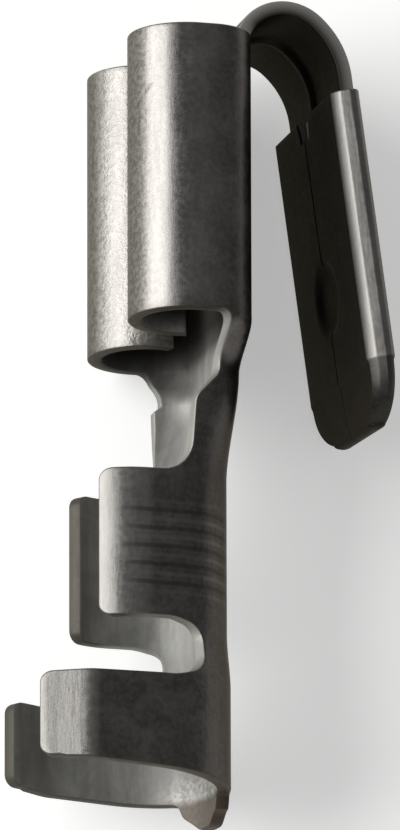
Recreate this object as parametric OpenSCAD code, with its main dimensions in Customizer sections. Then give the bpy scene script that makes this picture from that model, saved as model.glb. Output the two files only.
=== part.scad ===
// Crimp-on female spade terminal with a piggyback male tab, folded from one sheet of tinned brass.
// Built with its length along Y, mouth towards +Y, and its floor flat at Z = 0,
// then laid on its side, as it comes to rest on a bench.

/* [Sheet] */
// Thickness of the sheet
sheet_t = 0.4; // [0.3:0.01:0.5]

/* [Receptacle] */
// Length of the two rolls
rec_len = 8; // [6:0.1:11]
// Width over the two rolls
rec_w = 7.6; // [7.2:0.1:9]
// Height from under the floor to the top of the rolls
rec_h = 3.3; // [3.1:0.05:4]
// Outside radius of each roll
roll_r = 1.6; // [1.3:0.05:1.7]
// Outside radius of the bend between the floor and each wall
heel_r = 1.3; // [0.9:0.05:1.4]
// Gap between the floor and the lip of each roll, which grips a mating tab
grip_gap = 0.9; // [0.8:0.01:1.1]

/* [Neck] */
// Length of the neck between the receptacle and the conductor barrel
neck_len = 4.1; // [3.6:0.1:6]
// Width of the neck just below the receptacle
neck_w = 4.9; // [4.4:0.1:5.6]
// Height of the neck's side walls
neck_h = 1.5; // [1.4:0.05:1.8]
// Height of the sheet left in the relief notch under each roll
relief_h = 1.1; // [0.7:0.05:1.2]
// Width of the relief notch, measured along the neck
relief_len = 1.2; // [0.9:0.05:1.6]

/* [Conductor barrel] */
// Length of the conductor barrel
wire_len = 4.1; // [3:0.1:6]
// Width of the conductor barrel
wire_w = 4.2; // [3.8:0.1:5]
// Height of the conductor wings
wire_h = 3.95; // [3.6:0.05:4.4]
// Height at which the conductor wings start to lean in
wire_lean_z = 3.1; // [2.8:0.1:3.3]
// Outside radius to which the conductor wings curve in
wire_lean_r = 2.1; // [1.9:0.1:4]
// Step of the conductor barrel's floor above the receptacle's
wire_lift = 0.08; // [0.02:0.01:0.3]
// Number of serrations pressed across the inside of the conductor barrel
serrations = 3; // [1:1:4]
// Width of each serration
serration_w = 0.3; // [0.15:0.05:0.4]
// Depth of each serration
serration_d = 0.07; // [0.03:0.01:0.12]

/* [Insulation barrel] */
// Length of the insulation barrel
ins_len = 2.7; // [2:0.1:4]
// Width of the insulation barrel
ins_w = 5.3; // [4.8:0.1:6.5]
// Height of the insulation wings
ins_h = 5.75; // [5:0.05:6.4]
// Height at which the insulation wings start to lean in
ins_lean_z = 4.3; // [3.6:0.1:4.6]
// Outside radius to which the insulation wings curve in
ins_lean_r = 5; // [3.6:0.1:8]
// Slant of the insulation wings' end edge, from the floor to the tip
ins_slant = 0.37; // [0.1:0.01:0.6]
// Length of the gap between the two barrels
gap_len = 1.7; // [1.4:0.1:3]
// Height of the wall left in that gap
gap_h = 1.2; // [0.9:0.05:1.4]
// Radius of the wings' corners
wing_corner = 0.32; // [0.1:0.01:0.5]
// Length of the nub left where the terminal was cut off its carrier strip
nub_len = 0.8; // [0.4:0.05:1.2]
// Width of that nub
nub_w = 1.9; // [1.4:0.1:2.4]
// Distance of the nub from the middle
nub_shift = 0.4; // [0:0.1:0.6]

/* [Arch] */
// Width of the strip that carries the tab
strip_w = 5.1; // [4.4:0.1:5.4]
// Outside radius of the first bend, out of the floor
arch_r1 = 1; // [0.8:0.05:1.2]
// Turn of the first bend, in degrees
arch_turn1 = 30; // [20:1:40]
// Outside radius of the crown
arch_r2 = 1.5; // [1.3:0.05:1.8]
// Turn of the crown, in degrees
arch_turn2 = 100; // [85:1:110]
// Outside radius of the last bend, into the tab
arch_r3 = 2.6; // [2:0.05:3.2]
// Straight stretch between the last bend and the tab
tab_neck = 0.5; // [0.3:0.05:1]
// Width of the stiffening rib pressed along the arch
rib_w = 0.6; // [0.4:0.05:0.8]
// Height of that rib
rib_h = 0.12; // [0.06:0.01:0.2]
// Width of the relief cut on each side of the strip's root
root_cut_w = 0.3; // [0.2:0.05:0.5]
// Depth of that cut, from the mouth's edge
root_cut = 0.3; // [0.2:0.05:0.6]
// Distance of the first bend from the mouth's edge
root_back = 0.1; // [0.05:0.05:0.2]

/* [Tab] */
// Width of the male tab
tab_w = 6.3; // [5.6:0.1:6.8]
// Thickness of the hemmed tab
tab_t = 0.8; // [0.8:0.01:1]
// Length of the tab's parallel sides
tab_len = 7.6; // [6:0.1:9]
// Length of the rounded tip
tip_len = 1.3; // [1:0.05:1.8]
// Width of the tip's blunt end
tip_w = 2.8; // [2:0.1:3.4]
// Thickness of the coined tip at its end
tip_t = 0.45; // [0.3:0.01:0.6]
// Angle at which the tab leans away from the floor
tab_slope = 7.6; // [5:0.1:9]
// Diameter of the round recess on the seam
recess_d = 1.8; // [1.2:0.1:2.2]
// Distance from the tab's upper end to the middle of the recess
recess_at = 5.1; // [3:0.1:5.6]
// Width of the seam between the two folded flaps
seam_w = 0.08; // [0.04:0.01:0.15]
// Depth of the seam
seam_d = 0.3; // [0.1:0.01:0.35]
// Length of the notch between the flaps where the rib ends
flap_notch = 0.6; // [0.4:0.05:0.9]

/* [Hidden] */
$fn = 96;
tinned = "#8d8a84";
eps = 0.01;
// Length by which the barrels run past their wings' edges, for the side view to trim
trim = 0.05;

// Stations along the length, from the cut-off end
wire_y0 = ins_len + gap_len;
wire_y1 = wire_y0 + wire_len;
rec_y0 = wire_y1 + neck_len;
rec_y1 = rec_y0 + rec_len;

// Swept angle of the roll whose lip ends at the grip gap
lip_angle = 180 + asin((rec_h - roll_r - sheet_t - grip_gap) / roll_r);

// Bends of the arch, from the floor to the tab: [outside radius, turn]
arch_bends = [
    [arch_r1, arch_turn1],
    [arch_r2, arch_turn2],
    [arch_r3, 180 - tab_slope - arch_turn1 - arch_turn2],
];

// ---- helpers -------------------------------------------------------------------------------

function smooth(u) = let (c = min(1, max(0, u))) c * c * (3 - 2 * c);
function mix(a, b, u) = a + (b - a) * u;
function polar(r, a) = [r * cos(a), r * sin(a)];

// Closed outline whose corners, given as [u, v, radius], are rounded by arcs
function rounded(corners, steps = 6) = [
    for (i = [0 : len(corners) - 1])
        let (
            count = len(corners),
            here = [corners[i].x, corners[i].y],
            before = corners[(i + count - 1) % count],
            after = corners[(i + 1) % count],
            r = corners[i].z,
            back = [before.x, before.y] - here,
            ahead = [after.x, after.y] - here,
            to_back = back / norm(back),
            to_ahead = ahead / norm(ahead),
            half = acos(to_back * to_ahead) / 2,
            middle = here + (to_back + to_ahead) / norm(to_back + to_ahead) * r / sin(half),
            start = here + to_back * r / tan(half) - middle,
            finish = here + to_ahead * r / tan(half) - middle,
            a0 = atan2(start.y, start.x),
            turn = (atan2(finish.y, finish.x) - a0 + 540) % 360 - 180
        )
        each r == 0 ? [here] : [for (k = [0 : steps]) middle + polar(r, a0 + turn * k / steps)]
];

// Stands a section, drawn with X across and Y up, so that it runs along the part from y0
module along(y0, length) translate([0, y0 + length, 0]) rotate([90, 0, 0]) children();

// Stands a side view, drawn with X along the part and Y up, so that it runs across the part
module across(width) translate([-width / 2, 0, 0]) rotate([90, 0, 90]) children();

// Solid through rings of points that go out along one face of the sheet and back along the other
module loft(rings) {
    size = len(rings[0]);
    last_ring = len(rings) - 1;
    walls = [for (i = [0 : last_ring - 1], j = [0 : size - 1])
        [(i + 1) * size + j, (i + 1) * size + (j + 1) % size, i * size + (j + 1) % size, i * size + j]];
    first = [for (j = [0 : size / 2 - 2]) [j, j + 1, size - 2 - j, size - 1 - j]];
    last = [for (f = first) [for (k = [3 : -1 : 0]) last_ring * size + f[k]]];
    polyhedron([for (ring = rings) each ring], concat(walls, first, last), convexity = 6);
}

// ---- cross-sections of the formed sheet ----------------------------------------------------
// A section's outside is a path from the middle of the floor to one edge: points [x, z, angle],
// where the angle is that of the outward normal.

heel_steps = 9;
wing_steps = 5;
roll_steps = 26;

// Floor and heel bend, in points that are evenly spaced round them
function heel_path(half, r, lift) =
    let (flat = half - r, whole = flat + r * PI / 2)
    [
        for (i = [0 : heel_steps])
            let (way = whole * i / heel_steps, turn = max(0, way - flat) / r * 180 / PI)
            [min(way, flat) + r * sin(turn), lift + r * (1 - cos(turn)), turn - 90]
    ];

// Arc that goes on from a vertical wall and curves in over the middle
function arc_path(half, z, r, sweep, steps) =
    [for (i = [0 : steps]) let (a = sweep * i / steps) [half - r * (1 - cos(a)), z + r * sin(a), a]];

// Closed section round both faces of the sheet; slant thickens walls that run aslant
function section(path, slant = 1) =
    let (
        count = len(path),
        inner = [for (p = path) [p.x - slant * sheet_t * cos(p.z), p.y - sheet_t * sin(p.z)]]
    )
    [
        for (i = [count - 1 : -1 : 0]) [path[i].x, path[i].y],
        for (i = [1 : count - 1]) [-path[i].x, path[i].y],
        for (i = [count - 1 : -1 : 1]) [-inner[i].x, inner[i].y],
        for (i = [0 : count - 1]) inner[i],
    ];

// ---- receptacle ----------------------------------------------------------------------------

module receptacle() {
    path = concat(
        heel_path(rec_w / 2, heel_r, 0),
        arc_path(rec_w / 2, rec_h - roll_r, roll_r, lip_angle, roll_steps)
    );
    difference() {
        along(rec_y0, rec_len)
            linear_extrude(rec_len)
                polygon(section(path));
        translate([-strip_w / 2 - root_cut_w, rec_y1 - root_cut, -eps])
            cube([strip_w + 2 * root_cut_w, root_cut + eps, 2 * sheet_t]);
    }
}

// ---- crimp barrels and neck ----------------------------------------------------------------

gap_rings = 9;
neck_rings = 19;
gap_y0 = ins_len + trim;
gap_y1 = wire_y0 - trim;
neck_y0 = wire_y1 + trim;
wire_top = wire_lift + wire_h;

// Sizes of a barrel's section: half width, bend radius, floor height, height where the wings
// curve in, their radius, and their top
ins_sizes = [ins_w / 2, ins_w / 2, 0, ins_lean_z, ins_lean_r, ins_h];
wire_sizes = [wire_w / 2, wire_w / 2, wire_lift, wire_lean_z, wire_lean_r, wire_top];
neck_sizes = [neck_w / 2, heel_r, 0, wire_lean_z, wire_lean_r, wire_top];
mouth_sizes = [rec_w / 2, heel_r, 0, wire_lean_z, wire_lean_r, wire_top];

// Those sizes at station y: from the insulation barrel to the conductor barrel, then a gentle
// widening along the neck, and a sharp one at its shoulder under the rolls
function sizes_at(y) = y < gap_y1
    ? mix(ins_sizes, wire_sizes, smooth((y - gap_y0) / (gap_y1 - gap_y0)))
    : mix(
        mix(wire_sizes, neck_sizes, smooth((y - neck_y0) / (rec_y0 - relief_len - neck_y0))),
        mouth_sizes,
        smooth((y - rec_y0 + relief_len) / relief_len)
    );

function crimp_ring(y) =
    let (
        s = sizes_at(y),
        widening = (sizes_at(y + eps)[0] - sizes_at(y - eps)[0]) / (2 * eps),
        sweep = asin((s[5] + trim - s[3]) / (s[4] - sheet_t)),
        path = concat(heel_path(s[0], s[1], s[2]), arc_path(s[0], s[3], s[4], sweep, wing_steps))
    )
    [for (p = section(path, sqrt(1 + widening * widening))) [p.x, y, p.y]];

crimp_stations = concat(
    [0],
    [for (i = [0 : gap_rings - 1]) mix(gap_y0, gap_y1, i / (gap_rings - 1))],
    [for (i = [0 : neck_rings - 1]) mix(neck_y0, rec_y0, i / (neck_rings - 1))]
);

// Side view to which the wings, the gap and the neck are trimmed
module crimp_side_view() {
    high = max(ins_h, wire_top) + 1;
    across(2 * ins_w)
        linear_extrude(2 * ins_w)
            polygon(rounded([
                [rec_y0 + 1, -1, 0],
                [rec_y0 + 1, high, 0],
                [rec_y0 + trim / 2, high, 0],
                [rec_y0 + trim / 2, relief_h, 0.35 * relief_len],
                [rec_y0 - 0.7 * relief_len, relief_h, 0.25 * relief_len],
                [rec_y0 - relief_len, neck_h, 0.2 * relief_len],
                [wire_y1, neck_h, 0.5],
                [wire_y1, wire_top, wing_corner],
                [wire_y0, wire_top, wing_corner],
                [wire_y0, gap_h + gap_len / 2, gap_len / 4],
                [wire_y0 - gap_len / 7, gap_h, gap_len / 4],
                [ins_len + gap_len / 7, gap_h, gap_len / 4],
                [ins_len, gap_h + gap_len / 2, gap_len / 4],
                [ins_len, ins_h, wing_corner],
                [ins_slant, ins_h, wing_corner],
                [-ins_slant / 4, -1, 0],
            ]));
}

// Grooves pressed across the inside of the conductor barrel
module serration_cuts() {
    r = wire_w / 2 - sheet_t + serration_d;
    pitch = wire_len / (serrations + 1);
    for (i = [1 : serrations])
        along(wire_y0 + i * pitch - serration_w / 2, serration_w)
            translate([0, wire_lift + wire_w / 2, 0]) {
                cylinder(r = r, h = serration_w);
                translate([-r, 0, 0])
                    cube([2 * r, wire_lean_z - wire_lift - wire_w / 2, serration_w]);
            }
}

// Stub of the carrier strip, bent like the barrel's bottom, with a torn, rounded end
module cut_off_nub() {
    reach = 0.1;
    path = heel_path(ins_w / 2, ins_w / 2, 0);
    intersection() {
        along(-nub_len, nub_len + reach)
            linear_extrude(nub_len + reach)
                polygon(section([for (i = [0 : 5]) path[i]]));
        translate([-nub_shift, 0, -eps])
            linear_extrude(ins_w / 2)
                polygon(rounded([
                    [-nub_w / 2, reach, 0],
                    [-nub_w / 2, -0.6 * nub_len, nub_len / 3],
                    [-nub_w / 6, -nub_len, nub_len / 3],
                    [nub_w / 3, -0.93 * nub_len, nub_len / 4],
                    [nub_w / 2, -0.5 * nub_len, nub_len / 4],
                    [nub_w / 2, reach, 0],
                ]));
    }
}

module crimp_end() {
    difference() {
        intersection() {
            loft([for (y = crimp_stations) crimp_ring(y)]);
            crimp_side_view();
        }
        serration_cuts();
    }
    cut_off_nub();
}

// ---- arch and male tab ---------------------------------------------------------------------
// The strip and the tab are one loft. A station is [point on the outer face in the side view,
// turn from the floor's direction, half width, thickness, width of the rounded edge, rib height].

bend_step = 10;
edge_steps = 3;
tip_steps = 8;
stamped_edge = 0.03;
hem_step = 0.03;

function turned(i) = i == 0 ? 0 : turned(i - 1) + arch_bends[i - 1][1];
function bend_centre(i) = i == 0
    ? [rec_y1 - root_back, sheet_t - arch_r1]
    : bend_centre(i - 1) + polar(arch_bends[i - 1][0] - arch_bends[i][0], 90 - turned(i));

tab_turn = 180 - tab_slope;
tab_along = polar(1, -tab_turn);
tab_outward = polar(1, 90 - tab_turn);
tab_start = bend_centre(2) + polar(arch_r3, 90 - tab_turn) + tab_neck * tab_along;

// Half of the section's outer face, from one edge to the other, with the rib's groove
function face_half(half, thick, edge, rib) = concat(
    [for (i = [0 : edge_steps]) let (a = 190 + 80 * i / edge_steps)
        [edge - half + edge * cos(a), thick / 2 * (1 + sin(a))]],
    [[-rib_w / 2, 0], [-rib_w / 4, rib], [rib_w / 4, rib], [rib_w / 2, 0]],
    [for (i = [edge_steps : -1 : 0]) let (a = 190 + 80 * i / edge_steps)
        [half - edge - edge * cos(a), thick / 2 * (1 + sin(a))]]
);

function strip_ring(station) =
    let (
        outer = face_half(station[2], station[3], station[4], station[5]),
        inner = [for (p = outer) [p.x, station[3] - p.y + (abs(p.x) < rib_w / 3 ? 2 * p.y : 0)]],
        normal = polar(1, 90 - station[1]),
        count = len(outer)
    )
    [
        for (p = concat(outer, [for (i = [count - 1 : -1 : 0]) inner[i]]))
            let (place = station[0] - p.y * normal)
            [p.x, place.x, place.y]
    ];

function strip_station(point, turn, rib) = [point, turn, strip_w / 2, sheet_t, stamped_edge, rib];
function tab_station(way, half, thick) =
    [tab_start + way * tab_along - (tab_t - thick) / 2 * tab_outward, tab_turn, half, thick, thick / 2, 0];

// The tip narrows by an elliptic curve and is coined thinner from both faces
tip_stations = [for (i = [1 : tip_steps])
    let (u = sin(90 * i / tip_steps))
    tab_station(tab_len + tip_len * u, mix(tip_w, tab_w, sqrt(1 - u * u)) / 2, mix(tab_t, tip_t, u * u))];

strip_stations = concat(
    [strip_station([rec_y1 - root_cut, sheet_t], 0, 0), strip_station([rec_y1 - root_back, sheet_t], 0, 0)],
    [for (i = [0 : len(arch_bends) - 1])
        let (steps = ceil(arch_bends[i][1] / bend_step))
        for (k = [1 : steps])
            let (turn = turned(i) + arch_bends[i][1] * k / steps)
            strip_station(bend_centre(i) + polar(arch_bends[i][0], 90 - turn), turn, rib_h)],
    [strip_station(tab_start, tab_turn, rib_h)],
    [tab_station(hem_step, tab_w / 2, tab_t), tab_station(tab_len, tab_w / 2, tab_t)],
    tip_stations
);

// Puts what is drawn on the tab, with -Y along it from its start and +Z out of its inner face,
// in its place
module on_tab()
    translate([0, tab_start.x, tab_start.y])
        rotate([tab_slope, 0, 0])
            children();

module arch_and_tab()
    difference() {
        loft([for (s = strip_stations) strip_ring(s)]);
        on_tab() {
            // Round recess on the seam
            translate([0, -recess_at, sheet_t])
                cylinder(d = recess_d, h = tab_t);
            // Seam between the two flaps
            translate([-seam_w / 2, -tab_len - 2 * tip_len, tab_t - seam_d])
                cube([seam_w, tab_len + 2 * tip_len - flap_notch + eps, tab_t]);
            // Notch between the flaps, with the end of the rib left standing in it
            difference() {
                translate([-0.9 * rib_w, -flap_notch, sheet_t + 2 * eps])
                    cube([1.8 * rib_w, flap_notch + 0.2, tab_t]);
                translate([-rib_w / 2, -flap_notch - eps, 0])
                    cube([rib_w, flap_notch + 0.3, sheet_t + rib_h + eps]);
            }
        }
    }

module formed_sheet() {
    receptacle();
    crimp_end();
    arch_and_tab();
}

// ---- rest pose -----------------------------------------------------------------------------

// The part lies on the side of the receptacle, at its heel, and on the lower end of the tab's
// edge, so it leans about its length
edge_r = tab_t / 2;
edge_end = tab_start + tab_len * tab_along - edge_r * tab_outward;
rest_drop = (rec_w / 2 - heel_r) - (tab_w / 2 - edge_r);
rest_reach = heel_r - edge_end.y;
rest_lean = asin((heel_r - edge_r) / norm([rest_drop, rest_reach])) + atan2(rest_drop, rest_reach);
rest_height = heel_r + (rec_w / 2 - heel_r) * cos(rest_lean) - heel_r * sin(rest_lean);

// Ends of the box that the resting part fills
arch_top = bend_centre(1).x + arch_r2;
wing_inset = ins_lean_r - sqrt(pow(ins_lean_r, 2) - pow(ins_h - ins_lean_z, 2));
wing_reach = ins_h * cos(rest_lean) + (ins_w / 2 - wing_inset) * sin(rest_lean);
tab_reach = (edge_r - edge_end.y) * cos(rest_lean) + (tab_w / 2 - edge_r) * sin(rest_lean);

module terminal()
    color(tinned)
        translate([(wing_reach - tab_reach) / 2, -(arch_top - nub_len) / 2, rest_height])
            rotate([0, rest_lean - 90, 0])
                formed_sheet();

terminal();
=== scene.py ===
"""A female spade terminal with a piggyback male tab, folded from one sheet of tinned brass."""
import math

import bmesh
import bpy
import numpy as np
from mathutils import Matrix, Vector


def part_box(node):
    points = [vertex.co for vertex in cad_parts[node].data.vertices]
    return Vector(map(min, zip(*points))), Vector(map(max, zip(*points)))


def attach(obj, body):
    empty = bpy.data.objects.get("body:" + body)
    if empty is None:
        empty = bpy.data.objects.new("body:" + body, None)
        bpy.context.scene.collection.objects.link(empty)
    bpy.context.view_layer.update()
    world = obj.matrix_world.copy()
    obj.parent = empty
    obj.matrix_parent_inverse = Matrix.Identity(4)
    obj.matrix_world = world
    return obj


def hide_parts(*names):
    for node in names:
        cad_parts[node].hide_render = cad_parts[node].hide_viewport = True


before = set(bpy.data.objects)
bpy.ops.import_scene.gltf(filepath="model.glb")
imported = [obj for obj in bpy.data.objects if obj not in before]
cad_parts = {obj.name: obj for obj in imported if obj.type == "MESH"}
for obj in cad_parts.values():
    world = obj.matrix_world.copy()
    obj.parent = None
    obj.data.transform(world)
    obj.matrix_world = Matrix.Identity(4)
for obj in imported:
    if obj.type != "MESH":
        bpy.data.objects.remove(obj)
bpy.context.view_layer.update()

# ---------------------------------------------------------------------------------------------
# The blank: one strip of 0.4 mm brass sheet, tinned on both faces before it is stamped out.
# Its outline is known by blank coordinates: s across, measured round the bends from the middle
# of the floor, and y along. Sizes are in millimetres until the mesh is placed.
# ---------------------------------------------------------------------------------------------
SHEET_FULL = 0.4
# a hair thinner as modelled, which keeps the curled walls within the solids
SHEET = 0.39
# radius and facets of the rounding left on every stamped edge
EDGE = 0.045
EDGE_STEPS = 3

# stations along the length, from the cut-off end to the mouth
INSULATION_LEN = 2.7
GAP_LEN = 1.7
WIRE_LEN = 4.1
NECK_LEN = 4.1
RECEPTACLE_LEN = 8.0
wire_start = INSULATION_LEN + GAP_LEN
wire_end = wire_start + WIRE_LEN
rolls_start = wire_end + NECK_LEN
mouth = rolls_start + RECEPTACLE_LEN

# a section is [half width, bend radius, floor height, height where the wings curve in, radius
# of that curve, its largest turn, past which the wing is straight]
INSULATION_SECTION = np.array([2.65, 2.65, 0.0, 4.3, 0.7, 0.5])
WIRE_SECTION = np.array([2.1, 2.1, 0.08, 2.75, 1.9, 0.8])
NECK_SECTION = np.array([2.45, 1.3, 0.0, 3.2, 1.0, 0.8])
SHOULDER_SECTION = np.array([3.785, 1.3, 0.0, 3.2, 1.0, 0.8])
ROLL_SECTION = np.array([3.785, 1.3, 0.0, 1.7, 1.6, 4.0])
RELIEF_LEN = 1.2
# the sections hold for this much past the ends of the wings
TRIM = 0.05
# largest turn used where a height is turned into a way, so that its cosine doesn't vanish
STEEPEST = 1.5


def smooth(u):
    """Smoothstep, 3u^2 - 2u^3, of u held between 0 and 1."""
    u = np.clip(u, 0, 1)
    return u * u * (3 - 2 * u)


def section_at(y):
    """Section sizes at station y: the barrels', the neck's and the rolls' own, and between them
    a smoothstep blend of the two neighbours."""
    y = np.asarray(y, float)[..., None]
    gap = smooth((y - INSULATION_LEN - TRIM) / (GAP_LEN - 2 * TRIM))
    neck = smooth((y - wire_end - TRIM) / (NECK_LEN - RELIEF_LEN - TRIM))
    shoulder = smooth((y - rolls_start + RELIEF_LEN) / RELIEF_LEN)
    sizes = INSULATION_SECTION + (WIRE_SECTION - INSULATION_SECTION) * gap
    sizes = sizes + (NECK_SECTION - WIRE_SECTION) * neck
    sizes = sizes + (SHOULDER_SECTION - NECK_SECTION) * shoulder
    return np.where(y < rolls_start - 0.5 * EDGE, sizes, ROLL_SECTION)


def fold(s, y, depth):
    """Folded place of blank point (s, y), at a depth under the outer face.

    Across the part the face is flat, then a heel arc, a wall, an arc that curls in and a straight;
    the depth is laid off along the inward normal.
    """
    s, y, depth = np.broadcast_arrays(np.asarray(s, float), y, depth)
    half, heel, lift, lean_z, lean_r, most = np.moveaxis(section_at(y), -1, 0)
    flat = half - heel
    heel_way = heel * math.pi / 2
    wall = lean_z - lift - heel
    turn_heel = np.clip((s - flat) / heel, 0, math.pi / 2)
    up = np.clip(s - flat - heel_way, 0, wall)
    lean_way = np.maximum(s - flat - heel_way - wall, 0)
    turn_lean = np.minimum(lean_way / lean_r, most)
    rest = lean_way - turn_lean * lean_r
    angle = turn_heel - math.pi / 2 + turn_lean
    x = np.minimum(s, flat) + heel * np.sin(turn_heel) - lean_r * (1 - np.cos(turn_lean))
    x = x - rest * np.sin(turn_lean)
    z = lift + heel * (1 - np.cos(turn_heel)) + up + lean_r * np.sin(turn_lean)
    z = z + rest * np.cos(turn_lean)
    return np.stack([x - depth * np.cos(angle), y, z - depth * np.sin(angle)], -1)


def way_to_height(y, z):
    """Blank coordinate s of the point at height z on the outer face at station y: the ways round
    the heel, up the wall, round the curl and along its straight end, added up."""
    half, heel, lift, lean_z, lean_r, most = np.moveaxis(section_at(y), -1, 0)
    turn = np.arccos(np.clip(1 - (z - lift) / heel, 0, 1))
    curl = np.minimum(np.arcsin(np.clip((z - lean_z) / lean_r, 0, 1)), most)
    last = np.minimum(most, STEEPEST)
    rest = np.maximum(z - lean_z - lean_r * np.sin(last), 0) / np.cos(last)
    wall = np.clip(z - lift - heel, 0, lean_z - lift - heel)
    return half - heel + heel * turn + wall + lean_r * curl + rest


def rounded(corners, steps=8):
    """Path through corners [u, v, radius], each rounded by an arc tangent to both sides."""
    path = [np.array(corners[0][:2], float)]
    for before, here, after in zip(corners, corners[1:], corners[2:]):
        p = np.array(here[:2], float)
        back, ahead = (np.array(q[:2], float) - p for q in (before, after))
        back, ahead = back / np.linalg.norm(back), ahead / np.linalg.norm(ahead)
        half = math.acos(np.clip(back @ ahead, -1, 1)) / 2
        if here[2] == 0 or abs(half - math.pi / 2) < 1e-3:
            path.append(p)
            continue
        middle = p + (back + ahead) / np.linalg.norm(back + ahead) * here[2] / math.sin(half)
        first, last = (p + side * here[2] / math.tan(half) - middle for side in (back, ahead))
        a0, a1 = math.atan2(first[1], first[0]), math.atan2(last[1], last[0])
        turn = (a1 - a0 + math.pi) % (2 * math.pi) - math.pi
        a = a0 + turn * np.linspace(0, 1, steps + 1)
        path.extend(middle + here[2] * np.stack([np.cos(a), np.sin(a)], 1))
    path.append(np.array(corners[-1][:2], float))
    return np.array(path)


def spaced(path, like, step):
    """The path with points added evenly on its pieces, so that none is longer than step; the
    counts go by a path with as many points, so that two like paths get the same."""
    counts = np.ceil(np.linalg.norm(np.diff(like, axis=0), axis=1) / step)
    counts = np.maximum(counts, 1).astype(int)
    where = np.concatenate([np.arange(n) / n + i for i, n in enumerate(counts)] + [[len(counts)]])
    return np.stack([np.interp(where, np.arange(len(path)), path[:, i]) for i in (0, 1)], 1)


def outward(path):
    """Mitred normals of a path in (s, y), on the right of its way, for an offset of one unit."""
    ways = np.diff(path, axis=0)
    ways /= np.maximum(np.linalg.norm(ways, axis=1), 1e-9)[:, None]
    normals = np.stack([ways[:, 1], -ways[:, 0]], 1)
    before = np.vstack([normals[:1], normals])
    after = np.vstack([normals, normals[-1:]])
    return (before + after) / (1 + (before * after).sum(1))[:, None]


# ---------------------------------------------------------------------------------------------
# The crimp end: two open U-shaped barrels, for the insulation and for the bare wire, and the
# neck that joins them to the receptacle. The nub is what is left of the carrier strip, which
# the terminals hang on until they are cut off.
# ---------------------------------------------------------------------------------------------
CORNER = 0.32
NECK_HEIGHT = 1.5
# the notch under each roll: height of the wall left in it, how far its slope starts and ends
# from the roll, and the slope's rounding; the tool cut the two sides unevenly
RELIEF_LEFT = (1.3, 1.46, 1.3, 0.07)
RELIEF_RIGHT = (0.82, 2.1, 1.4, 0.5)
GAP_HEIGHT = 1.2
INSULATION_HEIGHT = 5.75
WIRE_HEIGHT = 4.03
# the insulation wings' end edge leans along: y = slope z - start, up to the tip's setback
END_SLOPE, END_START, END_SETBACK = 0.0685, 0.024, 0.37
# fillets: in the gap's top and bottom corners, behind the wire wings, and at the roll's foot
GAP_TOP_FILLET = 0.9 * GAP_LEN
GAP_LOW_FILLET = 0.34 * GAP_LEN
NECK_FILLET = 0.85
FOOT_FILLET = 0.28
ROLL_FOOT = 1.6
# spacing of the points on the edge, and how far the lines to it step off the wings' stations
EDGE_SPACING = 0.17
STEP_OFF = 0.06
# the nub's two sides as corners [s, y, radius], and how far it fades into the end edge
NUB_POINTS = 32
NUB_FADE = 0.35
NUB_LEFT = [(0, -0.42, 0), (0.12, -0.46, 0.1), (0.45, -0.76, 0.25), (1.05, -0.79, 0.3),
            (1.8, -0.36, 0.3), (2.0, 0, 0.25)]
NUB_RIGHT = [(0, -0.42, 0), (0.1, -0.4, 0.08), (0.2, -0.2, 0.1), (0.24, -0.05, 0.08),
             (0.4, 0, 0.06)]


def side_path(relief):
    """Side view (y, z) of one half's edge from the insulation wing to the roll's foot, and its
    blank points. Relief gives the notch under the roll; the points are spaced as on the left
    half, so that both halves meet on the middle line."""
    gap_middle = GAP_HEIGHT + GAP_LEN / 2
    view, like = (rounded([
        (END_SETBACK, INSULATION_HEIGHT - 0.5, 0),
        (END_SETBACK, INSULATION_HEIGHT, CORNER),
        (INSULATION_LEN, INSULATION_HEIGHT, CORNER),
        (INSULATION_LEN, gap_middle, GAP_TOP_FILLET),
        (INSULATION_LEN + GAP_LEN / 7, GAP_HEIGHT, GAP_LOW_FILLET),
        (wire_start - GAP_LEN / 7, GAP_HEIGHT, GAP_LOW_FILLET),
        (wire_start, gap_middle, GAP_TOP_FILLET),
        (wire_start, WIRE_HEIGHT, CORNER),
        (wire_end, WIRE_HEIGHT, CORNER),
        (wire_end, NECK_HEIGHT, NECK_FILLET),
        (rolls_start - start, NECK_HEIGHT, bend),
        (rolls_start - end, low, bend),
        (rolls_start, low, FOOT_FILLET),
        (rolls_start, ROLL_FOOT, 0),
    ]) for low, start, end, bend in (relief, RELIEF_LEFT))
    view = spaced(view, like, EDGE_SPACING)
    return view, np.stack([way_to_height(view[:, 0], view[:, 1]), view[:, 0]], 1)


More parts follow.
